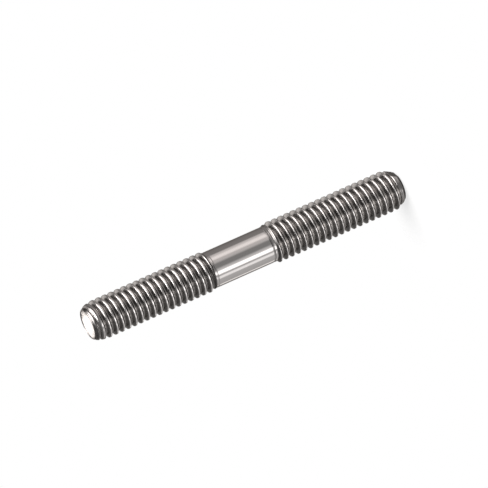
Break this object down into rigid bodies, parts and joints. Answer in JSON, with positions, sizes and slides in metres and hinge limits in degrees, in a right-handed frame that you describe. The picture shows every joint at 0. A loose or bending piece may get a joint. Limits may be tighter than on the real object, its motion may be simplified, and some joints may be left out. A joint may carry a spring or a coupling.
{
  "type": "double-ended threaded rod",
  "caption": "Straight steel rod with a right-hand screw thread on both ends and a plain, thinner shank between them.",
  "frame": {"origin": "centre of the lower end face, on which the rod stands", "axes": "+Z along the rod, from the longer thread to the shorter one"},
  "size_m": [0.006, 0.006, 0.05],
  "materials": {
    "plated_steel": "bright rolled and plated steel, glossy with fine drawing lines"
  },
  "bodies": {
    "root": {"double_end_stud": "plated_steel"}
  },
  "joints": []
}
